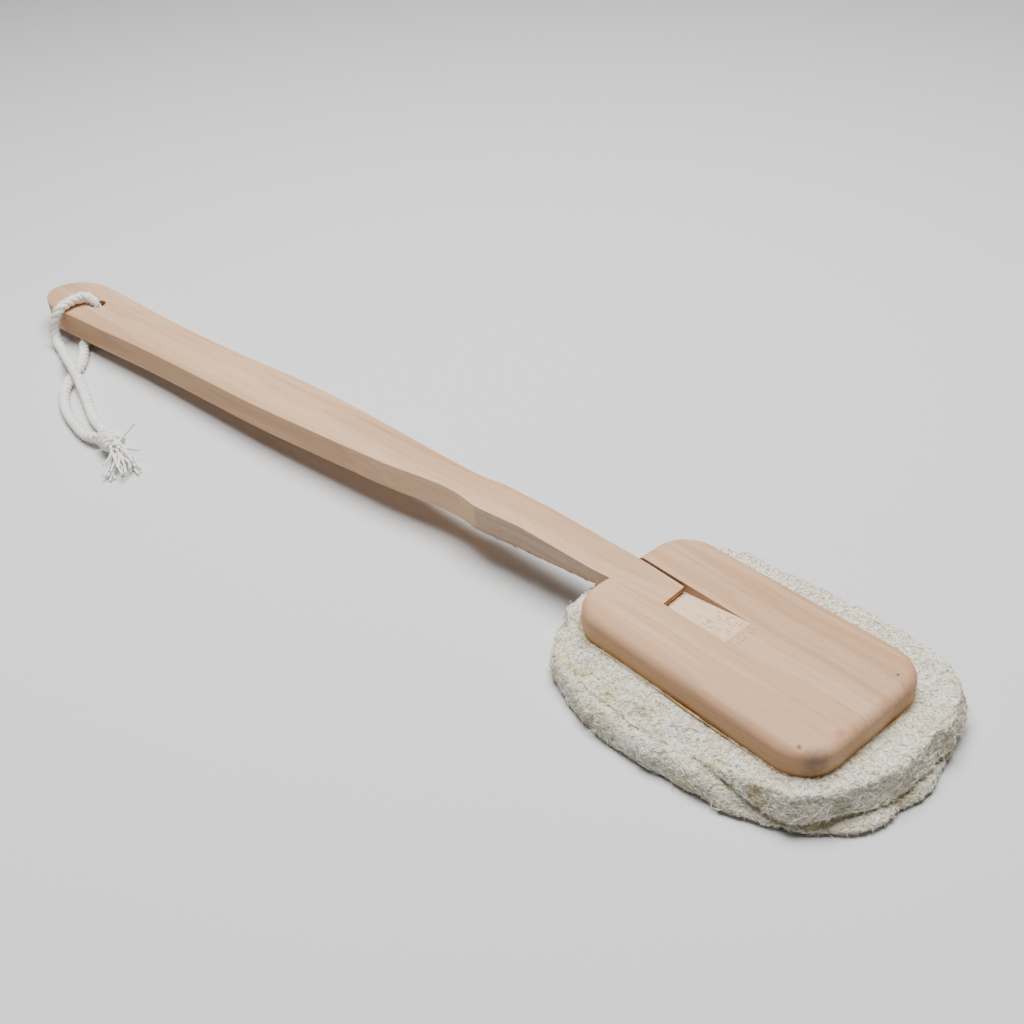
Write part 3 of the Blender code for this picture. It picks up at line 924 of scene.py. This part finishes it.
def outline_reach(node):
    """How far the node's rim is from the pad's middle, at evenly spaced directions."""
    low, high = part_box(node)
    points = np.array([vertex.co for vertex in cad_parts[node].data.vertices])
    off_middle = abs(points[:, 2] - (low.z + high.z) / 2)
    rim = points[off_middle < off_middle.min() + 0.0004]
    away = rim[:, :2] - np.array(PAD_MIDDLE[:2])
    turns, reach = np.arctan2(away[:, 1], away[:, 0]), np.hypot(away[:, 0], away[:, 1])
    order = np.argsort(turns)
    wanted = np.arange(RING_SIDES) * math.tau / RING_SIDES - math.pi
    return wanted, np.interp(wanted, turns[order], reach[order], period=math.tau)


upper_reach = outline_reach("loofah_upper_layer")[1]
print("upper layer: the rim is", (upper_reach.min() * 1000).round(1), "to",
      (upper_reach.max() * 1000).round(1), "mm from the middle")


# %% Building a layer
def pad_layer(name, node, profile):
    """A closed lumpy sheet: profile(x, y) gives (insets, heights) from its bottom to its top."""
    turns, reach = outline_reach(node)
    outward = np.column_stack([np.cos(turns), np.sin(turns)])
    edge = np.column_stack([PAD_MIDDLE.x + reach * np.cos(turns), reach * np.sin(turns)])
    rings = []
    for inset, height in profile(edge[:, 0], edge[:, 1]):
        flat = edge - outward * np.broadcast_to(inset, RING_SIDES)[:, None]
        rings.append(np.column_stack([flat, np.broadcast_to(height, RING_SIDES)]))
    rings = smooth_line(np.array(rings).reshape(len(rings), -1), 3).reshape(-1, RING_SIDES, 3)
    layer = mesh_object(name, [tube(np.zeros((len(rings), 3)), rings)], LOOFAH_MAT)
    shape_lumps(layer)
    return layer


def shape_lumps(layer):
    """Pushes the visible surface in and out by soft noise, but not what lies under the block."""
    low, high = block_low, block_high
    mesh = layer.data
    normals = [vertex.normal.copy() for vertex in mesh.vertices]
    for vertex, normal in zip(mesh.vertices, normals):
        at = vertex.co
        outside = max(low.x - at.x, at.x - high.x, low.y - at.y, at.y - high.y)
        free = min(1.0, max(0.0, outside / 0.004))
        big = noise.noise(at * 85.0) * 0.0011
        small = noise.noise(at * 330.0) * 0.0003 + noise.noise(at * 800.0) * 0.0002
        push = (big + small) * free
        if at.z < 0.0012 and normal.z < -0.5:
            push = min(push, 0.0) * 0.3
        vertex.co = at + normal * push
        vertex.co.z = max(vertex.co.z, 0.0002)
    mesh.update()


# %% The layers' edge profiles
def window(value, low, high, soft):
    """1 between low and high, fading to 0 over a soft distance outside them."""
    rise = np.clip((value - low) / soft + 1.0, 0.0, 1.0)
    fall = np.clip((high - value) / soft + 1.0, 0.0, 1.0)
    smooth = np.minimum(rise, fall)
    return smooth * smooth * (3.0 - 2.0 * smooth)


def near_side(x, y):
    return window(x, -0.044, 0.012, 0.036) * window(y, -0.060, -0.030, 0.008)


def front_side(x, y):
    return window(x, 0.044, 0.080, 0.018) * window(y, -0.046, 0.034, 0.010)


def wave(x, y, size, amount, seed):
    """Soft noise along the outline."""
    return np.array([noise.noise(Vector((a * size, b * size, seed))) for a, b in zip(x, y)]) * amount


def upper_profile(x, y):
    near, front = near_side(x, y), front_side(x, y)
    foot = BLOCK_BASE - 0.0072 - 0.0028 * front + wave(x, y, 60.0, 0.0009, 3.0)
    back = 0.0031 * near - 0.0005 * front - 0.0002 + wave(x, y, 110.0, 0.0012, 5.0)
    top = BLOCK_BASE + 0.0003
    skirt = front * (0.0023 + wave(x, y, 140.0, 0.0010, 6.0))
    dip = near * (1.0 + wave(x, y, 70.0, 0.35, 14.0))
    return [(back + 0.030, foot - 0.0002), (back + 0.014, foot - 0.0001), (back + 0.006, foot),
            (back + 0.0020 - skirt, foot + 0.0002), (back + 0.0006 - skirt, foot + 0.0006),
            (back - skirt, foot + 0.0014), (back - 0.6 * skirt, foot + 0.0030 + 0.0010 * front),
            (back, top - 0.0026 - 0.0036 * dip), (back + 0.0004, top - 0.0011 - 0.0040 * dip),
            (back + 0.0012, top - 0.0005 - 0.0042 * dip), (back + 0.0026, top - 0.0002 - 0.0039 * dip),
            (back + 0.0048, top - 0.0030 * dip), (back + 0.0082, top - 0.0016 * near),
            (back + 0.0125, top - 0.0005 * near), (back + 0.024, top - 0.0003), (back + 0.036, top - 0.0006)]


def lower_profile(x, y):
    near, front = near_side(x, y), front_side(x, y)
    ragged = 0.0002 + wave(x, y, 120.0, 0.0011, 9.0)
    top = 0.0068 - 0.0024 * front
    bulge = near * (1.0 + wave(x, y, 80.0, 0.30, 17.0))
    return [(ragged + 0.036, 0.0006), (ragged + 0.016, 0.0004), (ragged + 0.0050, 0.0003),
            (ragged + 0.0020, 0.0005), (ragged + 0.0006, 0.0009), (ragged, 0.0018),
            (ragged + 0.0006 - 0.0005 * near, 0.0032 + 0.0018 * bulge - 0.0005 * front),
            (ragged + 0.0017 - 0.0009 * near, 0.0046 + 0.0026 * bulge - 0.0013 * front),
            (ragged + 0.0030 - 0.0008 * near, 0.0057 + 0.0031 * bulge - 0.0019 * front),
            (ragged + 0.0044, top - 0.0003 + 0.0030 * bulge),
            (ragged + 0.0054, top + 0.0025 * bulge), (ragged + 0.0070, top + 0.0012 * bulge),
            (ragged + 0.0110, top - 0.0003), (ragged + 0.020, top - 0.0003), (ragged + 0.036, top - 0.0003)]


# %% The two layers
upper_sheet = pad_layer("loofah_upper_sheet", "loofah_upper_layer", upper_profile)
lower_sheet = pad_layer("loofah_lower_sheet", "loofah_lower_layer", lower_profile)

# %% [markdown]
# ## Loofah fibres
# Each fibre is a short curved tube with pointed ends that lies on the mat, one end sunk in
# and the other a little proud. Bump alone would look like paint at the pad's outline, so
# the fibres are real: they are scattered over the sheets' faces by area, finer and flatter
# on top, longer and looser round the edge, with a few long strays. Small patches stay bare,
# and there the mat, painted darker as shade, shows as pits. A fibre has only twelve or
# eighteen triangles, because there are many thousands of them.

# %% The faces of one fibre
def fibre_faces(rings):
    """Triangles of one pointed fibre: a tip, some rings of three points, and a tip."""
    last = 3 * rings + 1
    faces = [(0, 1 + (side + 1) % 3, 1 + side) for side in range(3)]
    for first in range(1, last - 3, 3):
        for side in range(3):
            after = (side + 1) % 3
            faces.append((first + side, first + after, first + 3 + after))
            faces.append((first + side, first + 3 + after, first + 3 + side))
    faces += [(last, last - 3 + side, last - 3 + (side + 1) % 3) for side in range(3)]
    return np.array(faces)


print("triangles of a short and a long fibre:", len(fibre_faces(2)), len(fibre_faces(3)))

# %% Places on a mesh
PIT_SCALE = 560.0
PIT_LEVEL = -0.12                # a place stays bare where the noise is below this


def surface_samples(base, count, rng, density):
    """Places on a mesh, by area times density(middles, normals), leaving small pits empty."""
    mesh = base.data
    mesh.calc_loop_triangles()
    points = np.empty(len(mesh.vertices) * 3, np.float32)
    mesh.vertices.foreach_get("co", points)
    points = points.reshape(-1, 3).astype(float)
    corners = np.empty(len(mesh.loop_triangles) * 3, np.int32)
    mesh.loop_triangles.foreach_get("vertices", corners)
    a, b, c = points[corners.reshape(-1, 3)].transpose(1, 0, 2)
    cross = np.cross(b - a, c - a)
    area = np.linalg.norm(cross, axis=1) + 1e-15
    normal = cross / area[:, None]
    weight = area * density((a + b + c) / 3, normal)
    tries = 2 * count
    pick = rng.choice(len(area), tries, p=weight / weight.sum())
    u, v = rng.random(tries), rng.random(tries)
    flip = u + v > 1
    u[flip], v[flip] = 1 - u[flip], 1 - v[flip]
    place = a[pick] + u[:, None] * (b - a)[pick] + v[:, None] * (c - a)[pick]
    woven = np.array([noise.noise(Vector(spot) * PIT_SCALE) for spot in place]) > PIT_LEVEL
    return place[woven][:count], normal[pick][woven][:count]


# %% Scattering fibres
def fibres(name, base, count, seed, density, length, radius, curl, lift, raised, flat=0.0, rings=2):
    """Curved pointed fibres on the base's surface; flat pulls their heading level."""
    rng = np.random.default_rng(seed)
    place, normal = surface_samples(base, count, rng, density)
    count = len(place)
    guide = rng.normal(0.0, 1.0, (count, 3))
    guide[:, 2] *= 1.0 - flat
    heading = guide - normal * (guide * normal).sum(axis=1)[:, None]
    heading /= np.linalg.norm(heading, axis=1)[:, None]
    side = np.cross(normal, heading)
    long = length * np.exp(rng.normal(0.0, 0.30, count))
    bend = rng.normal(0.0, curl, count)
    bend[abs(bend) < 0.05] = 0.05
    share = np.linspace(-0.5, 0.5, rings + 2)[None, :]
    corners = 3 * rings + 2
    turned = bend[:, None] * share
    ahead = long[:, None] * np.sin(turned) / bend[:, None]
    sideways = long[:, None] * (1.0 - np.cos(turned)) / bend[:, None]
    tilt = rng.normal(0.0, raised, count)[:, None]
    height = lift + rng.normal(0.0, 0.3 * lift, count)[:, None] + tilt * long[:, None] * share
    height = height - 0.00025 * (2 * share) ** 2
    line = (place[:, None, :] + ahead[..., None] * heading[:, None, :]
            + sideways[..., None] * side[:, None, :] + height[..., None] * normal[:, None, :])
    thick = radius * rng.uniform(0.75, 1.25, count)
    points = np.empty((count, corners, 3))
    points[:, 0], points[:, -1] = line[:, 0], line[:, -1]
    for ring in range(rings):
        for corner in range(3):
            turn = corner * math.tau / 3
            out = math.cos(turn) * side + math.sin(turn) * normal
            points[:, 1 + 3 * ring + corner] = line[:, 1 + ring] + thick[:, None] * out
    points[..., 2] = np.maximum(points[..., 2], 0.0)
    faces = (fibre_faces(rings)[None] + corners * np.arange(count)[:, None, None]).reshape(-1, 3)
    mesh = bpy.data.meshes.new(name)
    mesh.vertices.add(count * corners)
    mesh.vertices.foreach_set("co", points.ravel())
    mesh.loops.add(len(faces) * 3)
    mesh.loops.foreach_set("vertex_index", faces.ravel())
    mesh.polygons.add(len(faces))
    mesh.polygons.foreach_set("loop_start", np.arange(len(faces)) * 3)
    mesh.polygons.foreach_set("use_smooth", [True] * len(faces))
    mesh.update(calc_edges=True)
    tints = mesh.attributes.new("tint", "FLOAT", "POINT")
    tints.data.foreach_set("value", np.repeat(rng.random(count), corners))
    mesh.materials.append(LOOFAH_FIBRE)
    print(f"{name}: {count} fibres, {len(faces)} triangles")
    return new_object(name, mesh)


# %% Where the fibres lie
def clear_of_block(at):
    """1 where the place isn't under the block, which hides what lies there."""
    out = np.maximum.reduce([block_low.x - at[:, 0], at[:, 0] - block_high.x,
                             block_low.y - at[:, 1], at[:, 1] - block_high.y])
    corner = ((abs(at[:, 0]) > 0.042) & (abs(at[:, 1]) > 0.021))
    return ((out > -0.0005) | corner | (at[:, 2] < 0.009)).astype(float)


def on_top(at, up):
    return clear_of_block(at) * np.clip((up[:, 2] - 0.35) * 2.5, 0.0, 1.0) * (at[:, 2] > 0.0085) + 1e-9


def on_edge(at, up):
    return clear_of_block(at) * np.clip(1.3 - abs(up[:, 2]) * 1.4, 0.0, 1.0) + 1e-9


def on_rim_top(at, up):
    inner = np.hypot((at[:, 0] - MIDDLE_X) / 0.066, at[:, 1] / 0.048)
    return np.clip(up[:, 2] * 2.0, 0.0, 1.0) * (inner > 0.78) + 1e-9


def underneath(at, up):
    return (up[:, 2] < -0.5) * (at[:, 2] < 0.003) + 1e-9


# %% The fibres
FIBRE = {"length": 0.0022, "radius": 0.000125, "curl": 1.1, "lift": 0.00016, "raised": 0.14}
COARSE = {"length": 0.0032, "radius": 0.00013, "curl": 1.8, "lift": 0.00016, "raised": 0.17, "flat": 0.5,
          "rings": 3}
STRAY = {"length": 0.0060, "radius": 0.00012, "curl": 1.9, "lift": 0.0003, "raised": 0.40, "rings": 3}
fibre_pieces = [
    fibres("upper_top_fibres", upper_sheet, 16000, 41, on_top, **FIBRE),
    fibres("upper_fine_fibres", upper_sheet, 10000, 48, on_top, **FIBRE),
    fibres("upper_edge_fibres", upper_sheet, 9500, 42, on_edge, **COARSE),
    fibres("lower_rim_fibres", lower_sheet, 9000, 43, on_rim_top, **FIBRE),
    fibres("lower_edge_fibres", lower_sheet, 10500, 44, on_edge, **COARSE),
    fibres("underside_fibres", lower_sheet, 6000, 45, underneath, **FIBRE),
    fibres("upper_strays", upper_sheet, 260, 46, on_edge, **STRAY),
    fibres("lower_strays", lower_sheet, 200, 47, on_edge, **STRAY),
]

# %% [markdown]
# ## Attach each piece to its body
# The wood, the glue and the loofah ride on the head. The handle, its cord, the knot and the
# frayed ends ride on the handle. Each hides the plain solid that it covers.

# %% Bodies and covered parts
COVERS = (
    (wooden_block, "head", "wood", "head_block"),
    (wooden_handle, "handle", "wood", "handle"),
    (squeezed_glue, "head", "glue", "glue_bead"),
    (upper_sheet, "head", "loofah", "loofah_upper_layer"),
    (lower_sheet, "head", "loofah", "loofah_lower_layer"),
    (hanging_cord, "handle", "cord", "hanging_cord"),
    (tied_knot, "handle", "cord", "cord_knot"),
    (frayed_ends, "handle", "cord", "cord_tassel"),
)
for piece, body, slot_name, covered in COVERS:
    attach(piece, body)
    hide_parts(covered)
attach(cord_hairs, "handle")
for piece in fibre_pieces:
    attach(piece, "head")
